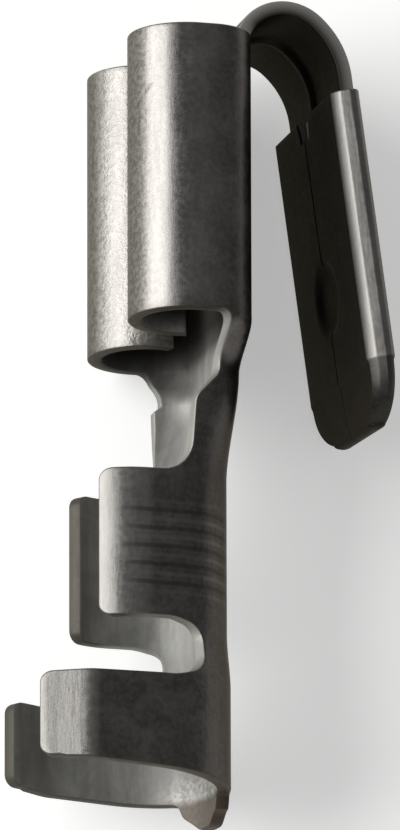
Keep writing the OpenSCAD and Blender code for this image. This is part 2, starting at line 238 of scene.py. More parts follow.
def crimp_edge(nub, relief):
    """Inset edge of one half of the crimp end, from the nub's tip to the roll's foot, with the
    stations on the middle line that its points are joined to."""
    side_view, side_ways = side_path(relief)
    root = nub[-1][0] + NUB_FADE
    end_ways = np.linspace(root, side_ways[0, 0], 40)[:-1]
    end_z = fold(end_ways, 1.0, 0)[:, 2]
    end_y = np.maximum(END_SLOPE * end_z - END_START, 0)
    nub_path = rounded(nub + [(root, end_y[0], 0)])
    way = np.concatenate([[0], np.cumsum(np.linalg.norm(np.diff(nub_path, axis=0), axis=1))])
    even = np.linspace(0, way[-1], NUB_POINTS)
    nub_path = np.stack([np.interp(even, way, nub_path[:, i]) for i in (0, 1)], 1)
    path = np.vstack([nub_path[:-1], np.stack([end_ways, end_y], 1), side_ways])
    path -= EDGE * outward(path)
    path[0] = 0, nub[0][1] + EDGE
    # the middle line's stations follow the edge's, by a measure that counts mostly the way along
    measure = np.abs(np.diff(path, axis=0)) @ [0.05, 1]
    measure = np.concatenate([[0], np.cumsum(measure + 1e-3)])
    first = len(nub_path) - 1
    # points where an edge that runs across the blank ends or starts
    turns = len(path) - len(side_ways) + np.array([
        np.argmin(np.hypot(*(side_view - corner).T)) for corner in (
            (INSULATION_LEN, GAP_HEIGHT + GAP_LEN / 2),
            (wire_start, GAP_HEIGHT + GAP_LEN / 2),
            (wire_end, NECK_HEIGHT + 0.5))
    ])
    known = np.concatenate([[0, first], turns, [len(path) - 1]])
    places = [nub[0][1] + EDGE, 2 * STEP_OFF, INSULATION_LEN - STEP_OFF, wire_start + STEP_OFF,
              wire_end - STEP_OFF, path[-1, 1]]
    return path, np.interp(measure, measure[known], places)


def rows_across(edge, middle, rows):
    """Grid of blank points on straight lines from the middle line to the edge."""
    s = edge[:, :1] * rows
    y = middle[:, None] + (edge[:, 1:] - middle[:, None]) * rows
    return s, y


# ---------------------------------------------------------------------------------------------
# The receptacle: a flat floor whose two sides are rolled right round and in over it, so that
# the lips press a mating tab against the floor. Two short cuts at the mouth free the strip
# that goes on from the floor.
# ---------------------------------------------------------------------------------------------
STRIP_HALF = 2.55
ROOT_CUT_WIDTH = 0.3
ROOT_CUT = 0.3
ROLL_TOP = 3.3
GRIP_GAP = 0.9

roll_half, heel_radius, _, curl_start, roll_radius, _ = ROLL_SECTION
lip_turn = math.pi + math.asin((ROLL_TOP - roll_radius - SHEET_FULL - GRIP_GAP) / roll_radius)
wall_foot = roll_half - heel_radius + heel_radius * math.pi / 2 - heel_radius
lip = wall_foot + curl_start + roll_radius * lip_turn
foot = wall_foot + ROLL_FOOT
strip_edge = STRIP_HALF - EDGE
wall_edge = STRIP_HALF + ROOT_CUT_WIDTH + EDGE
fork = mouth - ROOT_CUT - EDGE

# rows across and stations along; neighbouring grids share their first and last ones
strip_rows = np.linspace(0, strip_edge, 22)
inner_rows = np.concatenate([strip_rows, np.linspace(strip_edge, wall_edge, 4)[1:],
                             np.linspace(wall_edge, foot, 18)[1:]])
roll_rows = np.linspace(foot, lip - EDGE, 50)
all_rows = np.concatenate([inner_rows, roll_rows[1:]])
roll_stations = np.linspace(rolls_start + EDGE, fork, 16)
lip_stations = np.linspace(fork, mouth - EDGE, 4)
wall_rows = all_rows[np.searchsorted(all_rows, wall_edge - 1e-9):]

# ---------------------------------------------------------------------------------------------
# The arch: a plain strip that goes on from the floor, bends back over the mouth in three arcs
# and carries the tab. A stiffening rib is pressed along its middle, proud on the inside.
# ---------------------------------------------------------------------------------------------
ROOT_BACK = 0.1
# radius of the hollow side and turn of each bend
BENDS = [(0.6, math.radians(30)), (1.1, math.radians(100)), (2.2, math.radians(42.4))]
TAB_NECK = 0.5
RIB_WIDTH = 0.6
RIB_HEIGHT = 0.12
RIB_START = 0.15
RIB_RUN = 0.5
# the strip's end lies between the flaps, pressed up a little where they leave it in view
STRIP_INSIDE_TAB = 0.75
STRIP_END_RAISED = 0.18

arch_start = mouth - ROOT_BACK
tab_at = arch_start + sum(r * turn for r, turn in BENDS) + TAB_NECK
strip_end = tab_at + STRIP_INSIDE_TAB
arch_stations = np.concatenate([lip_stations[:2], np.linspace(mouth - 0.09, tab_at, 56),
                                np.linspace(tab_at, strip_end, 8)[1:]])


def arch_path(way):
    """Place (y, z) and turn of the strip's hollow side at a way along the blank: a straight, then
    arcs whose steps are r (sin b - sin a, cos b - cos a), then a straight again."""
    y, z = np.minimum(way, arch_start), np.zeros_like(way)
    turned, start = 0.0, arch_start
    for r, turn in BENDS:
        angle = turned + np.clip((way - start) / r, 0, turn)
        y = y + r * (np.sin(angle) - math.sin(turned))
        z = z + r * (np.cos(angle) - math.cos(turned))
        start, turned = start + r * turn, turned + turn
    rest = np.maximum(way - start, 0)
    total = sum(np.clip((way - s0) / r, 0, turn) for s0, (r, turn) in zip(
        arch_start + np.cumsum([0] + [r * t for r, t in BENDS[:-1]]), BENDS))
    return y + rest * math.cos(turned), z - rest * math.sin(turned), total


def fold_strip(s, way, depth):
    """Place of a point of the strip, its depth laid off from the arch path along the normal,
    with the rib as a raised cosine across it."""
    s, way, depth = np.broadcast_arrays(np.asarray(s, float), np.asarray(way, float), depth)
    y, z, turn = arch_path(way)
    across = 0.5 + 0.5 * np.cos(np.clip(s / (0.6 * RIB_WIDTH), 0, 1) * math.pi)
    along = smooth((way - arch_start - RIB_START) / RIB_RUN)
    raised = smooth((way - tab_at - 0.02) / 0.1)
    depth = depth - RIB_HEIGHT * across * along - STRIP_END_RAISED * raised
    return np.stack([s, y + depth * np.sin(turn), z + depth * np.cos(turn)], -1)


def painted_shade_at(s, y, depth, on_strip, side):
    """Painted shade, 0 to 1: fully on the arch's hollow side and within the
    receptacle, where shade falls, each with smoothstep fades along the way and through the depth."""
    hollow = on_strip * smooth((y - mouth) / 0.5) * (1 - smooth((depth - 0.05) / 0.2))
    hollow = hollow * (1 - smooth((y - tab_at) / 0.05))
    # the right wall takes no painted shade where it flares out of the neck
    start = rolls_start + np.where(side > 0, 0.5 * smooth((s - 1.2) / 1.4), 0)
    within = smooth((y - start + 0.35) / 0.6) * smooth((depth - 0.1) / 0.2) * ~on_strip
    return np.maximum(hollow, within)


def fold_any(s, y, depth, on_strip):
    """The strip's own folding where on_strip is true, and the body's elsewhere."""
    on_strip = np.broadcast_to(np.asarray(on_strip)[..., None], np.shape(s + y + depth) + (1,))
    return np.where(on_strip, fold_strip(s, y, depth), fold(s, y, depth))


points, marks, quads = [], [], []


def at(s, y):
    """Blank points at each s and y, either of which may be one value for all."""
    return np.stack(np.broadcast_arrays(s, y), 1)


def add_grid(place, s, y, depth, cut, side, flip=False, painted_shade=0):
    """Adds a grid of places as faces; side is -1 or 1, the half of the part that it is on. The
    blank point, how far it is a cut edge and how much painted shade it takes go with each point."""
    rows, columns = place.shape[:2]
    first = sum(len(p) for p in points)
    index = first + np.arange(rows * columns).reshape(rows, columns)
    corners = np.stack([index[:-1, :-1], index[1:, :-1], index[1:, 1:], index[:-1, 1:]], -1)
    points.append(place.reshape(-1, 3) * [side, 1, 1])
    values = side * s, y, depth, cut, painted_shade
    marks.append(np.stack([np.broadcast_to(v, (rows, columns)).ravel() for v in values], 1))
    corners = corners.reshape(-1, 4)
    quads.append(corners[:, ::-1] if flip else corners)


# section of a stamped edge: a quarter round on each face with a flat cut between them
rim_angle = np.linspace(0, math.pi / 2, EDGE_STEPS + 1)
rim_out = EDGE * np.concatenate([np.sin(rim_angle), np.cos(rim_angle)])
rim_depth = np.concatenate([EDGE * (1 - np.cos(rim_angle)),
                            SHEET - EDGE * (1 - np.sin(rim_angle))])
rim_cut = np.concatenate([smooth(rim_angle / 1.2), smooth(rim_angle[::-1] / 1.2)])
_, middle = crimp_edge(NUB_LEFT, RELIEF_LEFT)
for side, nub, relief in ((1, NUB_RIGHT, RELIEF_RIGHT), (-1, NUB_LEFT, RELIEF_LEFT)):
    edge, _ = crimp_edge(nub, relief)
    crimp_s, crimp_y = rows_across(edge, middle, inner_rows / foot)
    grids = [
        (crimp_s, crimp_y, False),
        (*np.meshgrid(all_rows, roll_stations), False),
        (*np.meshgrid(wall_rows, lip_stations), False),
        (*np.meshgrid(strip_rows, arch_stations), True),
    ]
    for s, y, on_strip in grids:
        on_strip = on_strip & (y > fork + 1e-6)
        for depth in (0, SHEET):
            place = fold_any(s, y, depth, on_strip)
            # the bit of the strip that shows in the flaps' notch is painted as bare brass, a
            # painted light in the notch's shade
            bare = on_strip * (depth == 0) * smooth((y - tab_at) / 0.03)
            add_grid(place, s, y, depth, bare, side, flip=(depth > 0) == (side > 0),
                     painted_shade=painted_shade_at(s, y, depth, on_strip, side))
    # the edge all round: crimp end, roll's foot, lip, mouth, root cut, strip
    round_edge = [
        (edge, False),
        (at(roll_rows[1:], roll_stations[0]), False),
        (at(roll_rows[-1], roll_stations[1:]), False),
        (at(roll_rows[-1], lip_stations[1:]), False),
        (at(wall_rows[-2::-1], lip_stations[-1]), False),
        (at(wall_edge, lip_stations[-2::-1]), False),
        (at(np.linspace(wall_edge, strip_edge, 4)[1:], fork), False),
        (at(strip_edge, arch_stations[1:]), True),
        (at(strip_rows[-2::-1], strip_end), True),
    ]
    path = np.vstack([p for p, _ in round_edge])
    on_strip = np.concatenate([np.full(len(p), flag) for p, flag in round_edge])
    normal = outward(path)
    normal[0], normal[-1] = (0, -1), (0, 1)
    s = path[:, :1] + normal[:, :1] * rim_out
    y = path[:, 1:] + normal[:, 1:] * rim_out
    on_strip = np.broadcast_to(on_strip[:, None], s.shape)
    place = fold_any(s, y, rim_depth, on_strip)
    add_grid(place, s, y, rim_depth, rim_cut, side, flip=side < 0,
             painted_shade=painted_shade_at(s, y, rim_depth + 0 * s, on_strip, side))

# ---------------------------------------------------------------------------------------------
# The tab: the strip widened, with a flap on each side folded flat onto it, so that two layers
# make the 0.8 mm blade. The flaps meet at a seam with a round recess on it, and the tip is
# rounded and coined thinner.
# ---------------------------------------------------------------------------------------------
TAB_HALF = 3.15
TAB_THICK = 0.8
TAB_LEN = 7.6
TIP_LEN = 1.5
TIP_HALF = 0.8
TIP_FULLNESS = 2.2
TIP_SKEW = 0.067
TIP_THICK = 0.5
TIP_ROUND = 0.12
# the coined tip starts with a step, which takes this share of the thickness that it loses
COIN_BACK = 0.12
COIN_RUN = 0.16
COIN_SHARE = 0.4
SEAM_HALF = 0.022
SEAM_DEPTH = 0.05
RECESS_RADIUS = 0.9
RECESS_AT = 5.1
RECESS_DEPTH = 0.16
RECESS_SLOPE = 0.4
# the flaps' ends stand back round the rib, and the seam's band of columns keeps its width
NOTCH_HALF = 0.54
NOTCH_LEN = 0.6
NOTCH_SIDE = 0.12
NOTCH_FADE = 2.4
NOTCH_LIP = 0.03
SEAM_END = 0.1
SEAM_BAND = 0.2
# depth at which the flaps lie on the plain layer, and at which a hem's painted shade starts
LAYER_JOIN = 0.38
HEM_DARK, HEM_FADE = 0.62, 0.1125
TIP_DARK, TIP_DARK_FADE = 0.75, 0.06
# one hem's outline [out, depth, radius]: round towards the plain face, flattened by the press
# towards the flaps
HEM = [(-0.4, 0, 0), (0, 0, 0.3), (0, 0.31, 0.12), (-0.13, 0.57, 0.25), (-0.36, 0.8, 0.05),
       (-0.4, 0.8, 0)]


def tab_place(x, along, depth):
    """Folded place of a point of the tab, at a depth under its plain outer face: a straight
    that goes on from the strip's outer face beside the rib."""
    start = fold_strip(np.array(STRIP_HALF), np.array(tab_at), SHEET_FULL)
    _, _, turn = arch_path(np.array(tab_at))
    x, along, depth = np.broadcast_arrays(x, along, depth)
    y = start[1] + along * math.cos(turn) - depth * math.sin(turn)
    z = start[2] - along * math.sin(turn) - depth * math.cos(turn)
    return np.stack([x, y, z], -1)


def tab_half_width(along):
    """Half width along the tab: parallel, then a superellipse down to the tip's blunt end."""
    u = np.clip((along - TAB_LEN) / TIP_LEN, 0, 1)
    return TIP_HALF + (TAB_HALF - TIP_HALF) * (1 - u ** TIP_FULLNESS) ** (1 / TIP_FULLNESS)


# rows along the tab, closer where the tip is coined and at its rounded end
tip_angle = np.linspace(0, math.pi / 2, 18)
end_angle = np.linspace(0, math.pi / 2, 5)
start_angle = np.linspace(0, math.pi / 2, 4)
along = np.concatenate([
    EDGE * (1 - np.cos(start_angle)),
    np.linspace(EDGE, TAB_LEN - 0.15, 60)[1:],
    np.linspace(TAB_LEN - 0.15, TAB_LEN, 5)[1:],
    TAB_LEN + (TIP_LEN - TIP_ROUND) * np.sin(tip_angle)[1:],
    TAB_LEN + TIP_LEN - TIP_ROUND * (1 - np.sin(end_angle[1:])),
])
tip_way = np.clip((along - TAB_LEN) / TIP_LEN, 0, 1)
coined = COIN_SHARE * smooth((along - TAB_LEN + COIN_BACK) / COIN_RUN)
coined = coined + (1 - COIN_SHARE) * tip_way ** 1.5
thick = TAB_THICK + (TIP_THICK - TAB_THICK) * coined
inset = np.zeros_like(along)
inset[:4] = EDGE * (1 - np.sin(start_angle))
end_cos = np.cos(end_angle[1:])
half = tab_half_width(np.minimum(along, TAB_LEN + TIP_LEN * 0.995)) - inset
thick = thick - 2 * inset
thick[-4:] = thick[-5] * np.maximum(end_cos, 0)
half[-4:] = half[-5] - (thick[-5] - thick[-4:]) / 2

seam_x = np.array([0, 0.012, 0.025, 0.04, 0.07, 0.12])
face_x = np.concatenate([seam_x, np.linspace(0.12, 1.0, 32)[1:] * (TAB_HALF - TAB_THICK / 2)])
face_x = np.concatenate([-face_x[:0:-1], face_x])
scale = (half - thick / 2) / (TAB_HALF - TAB_THICK / 2)
x = np.where(np.abs(face_x) < SEAM_BAND, face_x, face_x * scale[:, None])
low = np.broadcast_to((TAB_THICK - thick[:, None]) / 2, x.shape)
high = low + thick[:, None]
notch = NOTCH_LEN * smooth((NOTCH_HALF - np.abs(x)) / NOTCH_SIDE)
shift = notch * (1 - smooth(along / NOTCH_FADE))[:, None]
high_along = along[:, None] + shift
seam = SEAM_DEPTH * smooth(1 - np.abs(x) / (2 * SEAM_HALF))
seam = seam * smooth((TAB_LEN + TIP_LEN - high_along) / SEAM_END)
from_recess = np.hypot(x, high_along - RECESS_AT)
recess = RECESS_DEPTH * smooth((RECESS_RADIUS - from_recess) / RECESS_SLOPE + 0.5)
high = high - np.maximum(seam * (thick[:, None] / TAB_THICK), recess)
hem = rounded(HEM, 5)[1:-1]
side_x = half[:, None] + thick[:, None] / TAB_THICK * hem[:, 0]
side_z = TAB_THICK / 2 + thick[:, None] / TAB_THICK * (hem[:, 1] - TAB_THICK / 2)
side_along = np.broadcast_to(along[:, None], side_x.shape)
loop_x = np.hstack([x, side_x, x[:, ::-1], -side_x[:, ::-1], x[:, :1]])
loop_z = np.hstack([low, side_z, high[:, ::-1], side_z[:, ::-1], low[:, :1]])
low_along = np.broadcast_to(along[:, None], x.shape)
loop_along = np.hstack([low_along, side_along, high_along[:, ::-1], side_along, low_along[:, :1]])
# the tip was cut a little askew, longer on its right side
loop_along = loop_along + TIP_SKEW * loop_x * tip_way[:, None]
# the flaps' face and the coined tip get painted shade
hem_dark = smooth((side_z - HEM_DARK) / HEM_FADE)
flap_face = np.hstack([0 * x, hem_dark, 1 + 0 * x, hem_dark[:, ::-1], 0 * x[:, :1]])
tip_dark = TIP_DARK * smooth((loop_along - TAB_LEN + COIN_BACK) / TIP_DARK_FADE)
add_grid(tab_place(loop_x, loop_along, loop_z), loop_x, tab_at + loop_along, loop_z, 0, 1,
         painted_shade=np.maximum(flap_face, tip_dark))

# its upper end: flap ends over the strip, and a fan at each folded edge
count = len(face_x)
lip_row = high[0] - NOTCH_LIP * (np.abs(x[0]) < NOTCH_HALF + 0.26)
cap_z = np.stack([low[0], np.full(count, LAYER_JOIN), lip_row, high[0]])
cap_along = np.stack([np.full(count, 0.0), high_along[0], high_along[0], high_along[0]])
cap_x = np.broadcast_to(x[0], cap_z.shape)
add_grid(tab_place(cap_x, cap_along, cap_z), cap_x, tab_at + cap_along, cap_z, 1, 1, flip=True)
for side in (-1, 1):
    rim = np.concatenate([[low[0, 0]], side_z[0], [high[0, 0]]])
    fan_x = np.stack([np.full(len(rim), x[0, -1]),
                      np.concatenate([[x[0, -1]], side_x[0], [x[0, -1]]])])
    fan_z = np.stack([np.full(len(rim), LAYER_JOIN), rim])
    add_grid(tab_place(fan_x, 0.0, fan_z), fan_x, tab_at, fan_z, 1, side)

# ---------------------------------------------------------------------------------------------
# The whole part, one folded sheet with nothing fixed to it, laid on its side as it comes to
# rest: on the receptacle's heel and the lower end of the tab's edge.
# ---------------------------------------------------------------------------------------------
REST_LEAN = math.radians(7.68429)
MILLIMETRE = 0.001
# in metres: points of neighbouring grids that are one, and edges that have no length
SAME_POINT = 4e-7
NO_LENGTH = 1e-7
CREASE = math.radians(50)

place = np.concatenate(points)
turn = REST_LEAN - math.pi / 2
place = np.stack([place[:, 0] * math.cos(turn) + place[:, 2] * math.sin(turn), place[:, 1],
                  place[:, 2] * math.cos(turn) - place[:, 0] * math.sin(turn)], 1)
low_corner, high_corner = (np.array(c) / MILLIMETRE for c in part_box("terminal"))
offset = (low_corner + high_corner - place.min(0) - place.max(0)) / 2
place += offset
mesh = bpy.data.meshes.new("terminal_sheet")
mesh.from_pydata(place * MILLIMETRE, [], np.concatenate(quads).tolist())
marks = np.concatenate(marks)
blank = mesh.attributes.new("blank", "FLOAT_VECTOR", "POINT")
blank.data.foreach_set("vector", np.ascontiguousarray(marks[:, :3], np.float32).ravel())
for column, label in ((3, "cut"), (4, "painted_shade")):
    mask = mesh.attributes.new(label, "FLOAT", "POINT")
    mask.data.foreach_set("value", np.ascontiguousarray(marks[:, column], np.float32))
work = bmesh.new()
work.from_mesh(mesh)
bmesh.ops.remove_doubles(work, verts=work.verts, dist=SAME_POINT)
bmesh.ops.dissolve_degenerate(work, dist=NO_LENGTH, edges=work.edges)
bmesh.ops.recalc_face_normals(work, faces=work.faces)
work.to_mesh(mesh)
work.free()
mesh.shade_smooth()
mesh.set_sharp_from_angle(angle=CREASE)
terminal = bpy.data.objects.new("terminal_sheet", mesh)
bpy.context.scene.collection.objects.link(terminal)
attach(terminal, "root")
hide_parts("terminal")

# ---------------------------------------------------------------------------------------------
# The finish: a thin coat of tin on both faces, put on before the sheet is stamped, so that cut
# edges are bare brass. Years of use have browned it and a scratch crosses one roll; painted
# highlights, sheen and shade are mixed into its colour too.
# Its masks go by the blank coordinates, in millimetres: across, along, and depth in the sheet.
# ---------------------------------------------------------------------------------------------
def new_group(name, inputs, outputs):
    """An empty shader node group with named sockets; inputs are (name, kind, default)."""
    group = bpy.data.node_groups.new(name, "ShaderNodeTree")
    for label, kind, value in inputs:
        socket = group.interface.new_socket(name=label, in_out="INPUT",
                                            socket_type="NodeSocket" + kind)
        if value is not None:
            socket.default_value = value
    for label in outputs:
        group.interface.new_socket(name=label, in_out="OUTPUT", socket_type="NodeSocketFloat")
    return group, group.nodes.new("NodeGroupInput"), group.nodes.new("NodeGroupOutput")


def node(tree, kind, settings=None, **inputs):
    """Adds a node, with its settings, and its inputs by name, or by i and their number, as values
    or as sockets to link."""
    made = tree.nodes.new("ShaderNode" + kind)
    for key, value in (settings or {}).items():
        setattr(made, key, value)
    for key, value in inputs.items():
        label = key.replace("_", " ")
        by_number = label[0] == "i" and label[1:].isdigit()
        socket = made.inputs[int(label[1:]) if by_number else label]
        if isinstance(value, bpy.types.NodeSocket):
            tree.links.new(value, socket)
        else:
            socket.default_value = value
    return made


def maths(tree, operation, a, b=0.0, c=0.0):
    """A Math node's result."""
    return node(tree, "Math", {"operation": operation}, i0=a, i1=b, i2=c).outputs[0]


def ramp(tree, value, low, high, a=0.0, b=1.0):
    """Smoothstep of a value from low to high, giving a to b."""
    made = node(tree, "MapRange", {"interpolation_type": "SMOOTHSTEP"}, Value=value)
    for socket, number in zip(("From Min", "From Max", "To Min", "To Max"), (low, high, a, b)):
        made.inputs[socket].default_value = number
    return made.outputs["Result"]


# frosted tin: crystals of a tenth of a millimetre under broader stains
grain, grain_in, grain_out = new_group(
    "tin_grain",
    [("Place", "Vector", None), ("Crystal", "Float", 7.0), ("Stain", "Float", 0.9)],
    ["Crystals", "Stains"],
)
crystals = node(grain, "TexNoise", Vector=grain_in.outputs["Place"],
                Scale=grain_in.outputs["Crystal"], Detail=3.0, Roughness=0.65)
stains = node(grain, "TexNoise", Vector=grain_in.outputs["Place"],
              Scale=grain_in.outputs["Stain"], Detail=4.0, Roughness=0.6, Distortion=0.6)
grain.links.new(ramp(grain, crystals.outputs["Fac"], 0.36, 0.64), grain_out.inputs["Crystals"])
grain.links.new(ramp(grain, stains.outputs["Fac"], 0.35, 0.65), grain_out.inputs["Stains"])

# drawn marks: fine streaks left along the sheet by the rolls and tools that it ran through
drawn, drawn_in, drawn_out = new_group(
    "drawn_marks", [("Place", "Vector", None), ("Length", "Float", 0.12)], ["Streaks"])
stretch = node(drawn, "CombineXYZ", X=1.0, Z=1.0)
drawn.links.new(drawn_in.outputs["Length"], stretch.inputs["Y"])
stretched = node(drawn, "VectorMath", {"operation": "MULTIPLY"},
                 i0=drawn_in.outputs["Place"], i1=stretch.outputs[0])
streaks = node(drawn, "TexNoise", Vector=stretched.outputs[0], Scale=3.2, Detail=5.0,
               Roughness=0.62)
drawn.links.new(ramp(drawn, streaks.outputs["Fac"], 0.35, 0.65), drawn_out.inputs["Streaks"])

tin = bpy.data.materials.new("dull_tin_over_brass")
tin.use_nodes = True
tree = tin.node_tree
shader = tree.nodes["Principled BSDF"]
shader.inputs["Specular IOR Level"].default_value = 0.25
shader.inputs["Specular Tint"].default_value = 0.5, 0.48, 0.43, 1


def times(*values):
    """Product of masks and numbers."""
    product = values[0]
    for value in values[1:]:
        product = maths(tree, "MULTIPLY", product, value)
    return product


def band(value, start, full, last, end):
    """Mask that rises from start to full and falls from last to end, both by smoothstep."""
    return times(ramp(tree, value, start, full), ramp(tree, value, end, last))


def painted(base, colour, *masks):
    """The base colour, mixed with the other one by the product of the masks."""
    made = node(tree, "Mix", {"data_type": "RGBA"})
    for socket, value in zip((made.inputs[0], made.inputs[6], made.inputs[7]),
                             (times(*masks), base, colour)):
        if isinstance(value, bpy.types.NodeSocket):
            tree.links.new(value, socket)
        else:
            socket.default_value = value
    return made.outputs[2]


def attribute(name):
    """The outputs of a node that reads one of the mesh's attributes."""
    return node(tree, "Attribute", {"attribute_name": name}).outputs


blank_place = attribute("blank")["Vector"]
cut_edge = attribute("cut")["Fac"]
# painted shade inside the receptacle, on the arch's hollow side and on the tab's flap face and
# coined tip
painted_shade = attribute("painted_shade")["Fac"]
across, along_sheet, under = node(tree, "SeparateXYZ", i0=blank_place).outputs
across_both = maths(tree, "ABSOLUTE", across)
solid_place = node(tree, "VectorMath", {"operation": "SCALE"},
                   i0=node(tree, "TexCoord").outputs["Object"], Scale=1 / MILLIMETRE).outputs[0]
grained = node(tree, "Group", {"node_tree": grain}, Place=solid_place).outputs
streaked = node(tree, "Group", {"node_tree": drawn}, Place=blank_place).outputs["Streaks"]

# the outer face is dark, its browned tin with a painted shade for the dark it reflects; the rolls
# get a painted highlight, the walls under them a painted lighter line of sheen, and the tops of
# the rolls a painted shade. A place is given as where the mark starts and is full, and then where
# it stops being full and ends
TIN_DARK, TIN_WORN = (0.085, 0.077, 0.072, 1), (0.13, 0.122, 0.116, 1)
WALL_PAINTED_SHEEN = 0.32, 0.315, 0.31, 1
ROLL_PAINTED_HIGHLIGHT = 0.34, 0.328, 0.304, 1
CREST_PAINTED_SHADE = 0.1, 0.094, 0.083, 1
HEEL_SHEEN_ACROSS = 3.9, 4.7
WALL_SHEEN_ACROSS = 4.5, 4.95, 5.1, 5.45
ROLL_HIGHLIGHT_ACROSS = 5.65, 6.0
CREST_SHADE_ACROSS = 6.4, 6.9, 7.8, 8.1
# the outer face's dark base is browned tin with a painted shade in it
outer_tin = painted(TIN_DARK, TIN_WORN, grained["Stains"])
receptacle = ramp(tree, along_sheet, rolls_start - 0.4, rolls_start + 0.4)
# painted highlight: the band where the rolls catch the window
roll_highlight_band = times(receptacle, ramp(tree, across_both, *ROLL_HIGHLIGHT_ACROSS))
# painted sheen: a lighter line on the walls and heels under the rolls
painted_wall_sheen = maths(tree, "ADD", times(band(across_both, *WALL_SHEEN_ACROSS), 0.17),
                  times(ramp(tree, across_both, *HEEL_SHEEN_ACROSS), 0.14))
outer_tin = painted(outer_tin, WALL_PAINTED_SHEEN, receptacle, painted_wall_sheen)
outer_tin = painted(outer_tin, ROLL_PAINTED_HIGHLIGHT, roll_highlight_band, 0.5)
# painted shade on the tops of the rolls
outer_tin = painted(outer_tin, CREST_PAINTED_SHADE, band(across_both, *CREST_SHADE_ACROSS), 0.74)

# a scratch slants over one roll: a short line, its way given by its cosine and sine
SCRATCH_MIDDLE = 6.6, 18.7
SCRATCH_WAY = -0.76, 0.65
SCRATCH_REACH = 0.5, 0.25
SCRATCH_WIDTH = 0.09, 0.02
SCRATCH_DARK = 0.09, 0.083, 0.07, 1
(middle_s, middle_y), (way_s, way_y) = SCRATCH_MIDDLE, SCRATCH_WAY
reach, off_line = (
    maths(tree, "ABSOLUTE", maths(
        tree, "ADD", maths(tree, "MULTIPLY_ADD", across, u, -u * middle_s),
        maths(tree, "MULTIPLY_ADD", along_sheet, v, -v * middle_y)))
    for u, v in ((way_s, way_y), (way_y, -way_s)))
outer_tin = painted(outer_tin, SCRATCH_DARK, ramp(tree, reach, *SCRATCH_REACH),
                    ramp(tree, off_line, *SCRATCH_WIDTH), 0.7)

# the curled wing tips and the tab's hems get a painted highlight, and the floor's underside a
# painted shade, the darkest
TIN_PAINTED_HIGHLIGHT = 0.29, 0.285, 0.268, 1
TIN_UNDERSIDE_SHADE = 0.045, 0.04, 0.037, 1
UNDER_ACROSS = 3.2, 1.6
on_insulation = times(ramp(tree, along_sheet, 3.5, 3.3), ramp(tree, across_both, 5.7, 5.9))
on_wire = times(band(along_sheet, 3.6, 3.8, 8.6, 9.0), ramp(tree, across_both, 3.6, 4.0))
on_hem = times(ramp(tree, along_sheet, 24.7, 24.9), ramp(tree, across_both, 2.75, 2.85))
painted_highlight = maths(tree, "MAXIMUM", maths(tree, "ADD", on_insulation, on_wire), on_hem)
# painted highlight on the wing curls and the tab's hems
outer_tin = painted(outer_tin, TIN_PAINTED_HIGHLIGHT, painted_highlight, 0.52)
# painted shade on the floor's underside
outer_tin = painted(outer_tin, TIN_UNDERSIDE_SHADE, ramp(tree, across_both, *UNDER_ACROSS), 0.6)

# the inner face is paler, partly a painted light: more painted light where the neck widens,
# frosted near the cut-off end with a painted highlight, and darker low in the insulation barrel
INNER_TIN, INNER_PALER = (0.24, 0.24, 0.225, 1), (0.31, 0.307, 0.292, 1)
INNER_PAINTED_LIGHT = 0.42, 0.415, 0.395, 1
INNER_FROST_HIGHLIGHT = 0.5, 0.49, 0.46, 1
INNER_LOW_DARKER = 0.12, 0.118, 0.108, 1
PAINTED_LIGHT_ALONG = 10.4, 11.3, 12.1, 12.6
FROST_HIGHLIGHT_ALONG = 1.1, 0.1
LOW_DARKER_ALONG, LOW_DARKER_ACROSS = (4.6, 3.6), (4.3, 3.0)
inner_tin = painted(INNER_TIN, INNER_PALER, grained["Stains"])
# painted light where the neck widens
inner_tin = painted(inner_tin, INNER_PAINTED_LIGHT, band(along_sheet, *PAINTED_LIGHT_ALONG), 0.5)
# frosted crystals near the cut-off end, with a painted highlight on them
frost_and_highlight = times(ramp(tree, along_sheet, *FROST_HIGHLIGHT_ALONG), ramp(tree, across_both, *UNDER_ACROSS),
                ramp(tree, grained["Crystals"], 0.0, 1.0, 0.25, 0.8))
inner_tin = painted(inner_tin, INNER_FROST_HIGHLIGHT, frost_and_highlight)
# darker low in the insulation barrel
inner_tin = painted(inner_tin, INNER_LOW_DARKER, ramp(tree, along_sheet, *LOW_DARKER_ALONG),
                    ramp(tree, across_both, *LOW_DARKER_ACROSS), maths(tree, "SUBTRACT", 0.5, frost_and_highlight))
is_inner = times(ramp(tree, under, 0.1, 0.3), ramp(tree, along_sheet, mouth - 0.2, mouth - 0.3))
plate = painted(outer_tin, inner_tin, is_inner)
STREAK_DARK = 0.1, 0.092, 0.088, 1
CRYSTAL_BRIGHT = 0.55, 0.54, 0.5, 1
plate = painted(plate, STREAK_DARK, streaked, 0.3)
plate = painted(plate, CRYSTAL_BRIGHT, grained["Crystals"],
                maths(tree, "MULTIPLY_ADD", roll_highlight_band, 0.12, 0.06))

# tool marks across the outside of the wire barrel: grooves painted dark as their shade, with a
# painted highlight on the ridges between
GROOVE_DARK = 0.045, 0.04, 0.036, 1
RIDGE_PAINTED_HIGHLIGHT = 0.3, 0.29, 0.27, 1
MARKS_ALONG, MARKS_ACROSS = (4.7, 5.3, 7.3, 7.9), (4.9, 3.9)
ribs = node(tree, "TexWave", {"wave_type": "BANDS", "bands_direction": "Y", "wave_profile": "SIN"},
            Vector=blank_place, Scale=0.62, Distortion=1.0, Detail=2.0, Detail_Scale=0.7,
            Detail_Roughness=0.4).outputs["Fac"]
marked = times(band(along_sheet, *MARKS_ALONG), ramp(tree, across_both, *MARKS_ACROSS),
               ramp(tree, under, 0.1, 0.05))
grooves = times(ramp(tree, ribs, 0.75, 0.98), marked)
